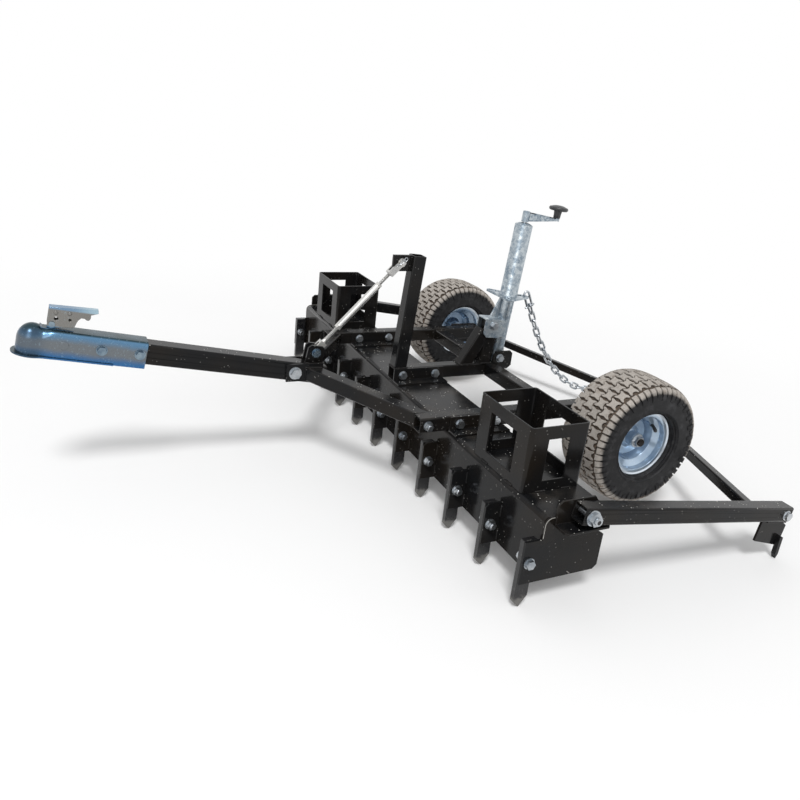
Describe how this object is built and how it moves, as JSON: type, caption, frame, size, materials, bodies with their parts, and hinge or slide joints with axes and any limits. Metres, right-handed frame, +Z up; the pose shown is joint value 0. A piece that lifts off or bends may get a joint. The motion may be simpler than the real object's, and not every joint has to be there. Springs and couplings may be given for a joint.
{
  "type": "tow-behind soil pulverizer",
  "caption": "Tow-behind soil pulverizer: toothed steel tool bar with weight baskets, turf wheels, crank jack, chain-lifted rear frame and hinged drawbar",
  "frame": {"origin": "on the ground, under the middle of the length and width, with the drawbar's coupler toward +X", "axes": "+X forward along the drawbar, +Y to the machine's left, +Z up"},
  "size_m": [1.8595, 1.651, 0.7209],
  "materials": {
    "black_paint": "gloss powder coat",
    "bare_steel": "bare, worn",
    "zinc": "bright zinc plate",
    "blue_zinc": "blue zinc plate",
    "galvanised": "mottled galvanised",
    "tyre_rubber": "dusty turf tread",
    "rim_paint": "gloss silver white",
    "knob_plastic": "moulded grey"
  },
  "bodies": {
    "frame": {"tool_bar": "black_paint", "end_plate_left": "black_paint", "end_plate_right": "black_paint", "tooth_lugs": "black_paint", "teeth": "bare_steel", "tooth_bolts": "zinc", "basket_left": "black_paint", "basket_right": "black_paint", "rail_left": "black_paint", "rail_right": "black_paint", "angle_left": "black_paint", "angle_centre": "black_paint", "angle_right": "black_paint", "rail_bolts": "zinc", "centre_bar": "black_paint", "crossbeam": "black_paint", "hitch_leg_left": "black_paint", "hitch_leg_right": "black_paint", "hinge_ears": "black_paint", "hinge_bolt": "zinc", "post": "black_paint", "jack_upright": "black_paint", "jack_strut": "black_paint", "jack_foot_ears": "black_paint", "jack_bolts": "zinc", "jack_bracket": "galvanised", "jack_inner_tube": "galvanised", "jack_nut": "bare_steel", "axle_left": "black_paint", "axle_right": "black_paint", "axle_nuts": "zinc", "pivot_bracket_left": "black_paint", "pivot_bracket_right": "black_paint", "pivot_bolts": "zinc"},
    "wheel_left": {"tyre_left": "tyre_rubber", "rim_left": "rim_paint", "bearings_left": "bare_steel"},
    "wheel_right": {"tyre_right": "tyre_rubber", "rim_right": "rim_paint", "bearings_right": "bare_steel"},
    "rake": {"rake_arm_left": "black_paint", "rake_arm_right": "black_paint", "rake_diagonals": "black_paint", "chain_eye": "black_paint", "rake_hangers": "black_paint", "rake_bolts": "zinc"},
    "jack_outer": {"jack_outer_tube": "galvanised"},
    "crank": {"jack_screw": "zinc", "crank_arm": "galvanised"},
    "knob": {"crank_knob": "knob_plastic"},
    "chain": {"chain_shackle": "zinc", "lift_chain": "zinc"},
    "drawbar": {"drawbar_tube": "black_paint", "turnbuckle_ears": "black_paint", "coupler": "blue_zinc", "drawbar_bolts": "zinc"},
    "latch": {"latch_lever": "blue_zinc"},
    "turnbuckle_foot": {"turnbuckle_lower": "zinc"},
    "turnbuckle_mid": {"turnbuckle_sleeve": "zinc"},
    "turnbuckle_head": {"turnbuckle_upper": "zinc"}
  },
  "joints": [
    {"name": "wheel_left_spin", "type": "hinge", "parent": "frame", "child": "wheel_left", "pos_m": [-0.47655, 0.473, 0.205], "axis": [0, 1, 0], "continuous": true},
    {"name": "wheel_right_spin", "type": "hinge", "parent": "frame", "child": "wheel_right", "pos_m": [-0.47655, -0.473, 0.205], "axis": [0, 1, 0], "continuous": true},
    {"name": "rake_lift", "type": "hinge", "parent": "frame", "child": "rake", "pos_m": [-0.08655, 0, 0.224], "axis": [0, 1, 0], "range_deg": [0, 10]},
    {"name": "jack_slide", "type": "slide", "parent": "frame", "child": "jack_outer", "axis": [-0.0767, 0, 0.9971], "range_m": [0, 0.15]},
    {"name": "chain_swing", "type": "hinge", "parent": "jack_outer", "child": "chain", "pos_m": [-0.43653, 0, 0.45017], "axis": [0, 1, 0], "range_deg": [-2, 1]},
    {"name": "crank_turn", "type": "hinge", "parent": "jack_outer", "child": "crank", "pos_m": [-0.38571, 0, 0.64088], "axis": [-0.0767, 0, 0.9971], "continuous": true},
    {"name": "crank_knob_spin", "type": "hinge", "parent": "crank", "child": "knob", "pos_m": [-0.49722, 0, 0.68245], "axis": [-0.0767, 0, 0.9971], "continuous": true},
    {"name": "drawbar_pitch", "type": "hinge", "parent": "frame", "child": "drawbar", "pos_m": [0.27945, 0, 0.256], "axis": [0, 1, 0], "range_deg": [-8, 8]},
    {"name": "turnbuckle_swing", "type": "hinge", "parent": "drawbar", "child": "turnbuckle_foot", "pos_m": [0.21945, 0, 0.303], "axis": [0, 1, 0], "range_deg": [-10.5, 10.5]},
    {"name": "turnbuckle_spin", "type": "hinge", "parent": "turnbuckle_foot", "child": "turnbuckle_mid", "pos_m": [0.10424, 0, 0.42528], "axis": [-0.6857, 0, 0.7278], "range_deg": [-160, 160]},
    {"name": "turnbuckle_slide", "type": "slide", "parent": "turnbuckle_foot", "child": "turnbuckle_head", "axis": [-0.6857, 0, 0.7278], "range_m": [-0.003, 0.003]},
    {"name": "latch_lift", "type": "hinge", "parent": "drawbar", "child": "latch", "pos_m": [0.84243, 0, 0.40152], "axis": [0, 1, 0], "range_deg": [0, 70]}
  ],
  "couplings": [
    {"joint": "jack_slide", "follows": "rake_lift", "m_per_rad": 0.83988},
    {"joint": "chain_swing", "follows": "rake_lift", "ratio": -0.07523},
    {"joint": "turnbuckle_swing", "follows": "drawbar_pitch", "ratio": -1.2253},
    {"joint": "turnbuckle_spin", "follows": "drawbar_pitch", "ratio": -17.865},
    {"joint": "turnbuckle_slide", "follows": "drawbar_pitch", "m_per_rad": -0.011373}
  ]
}
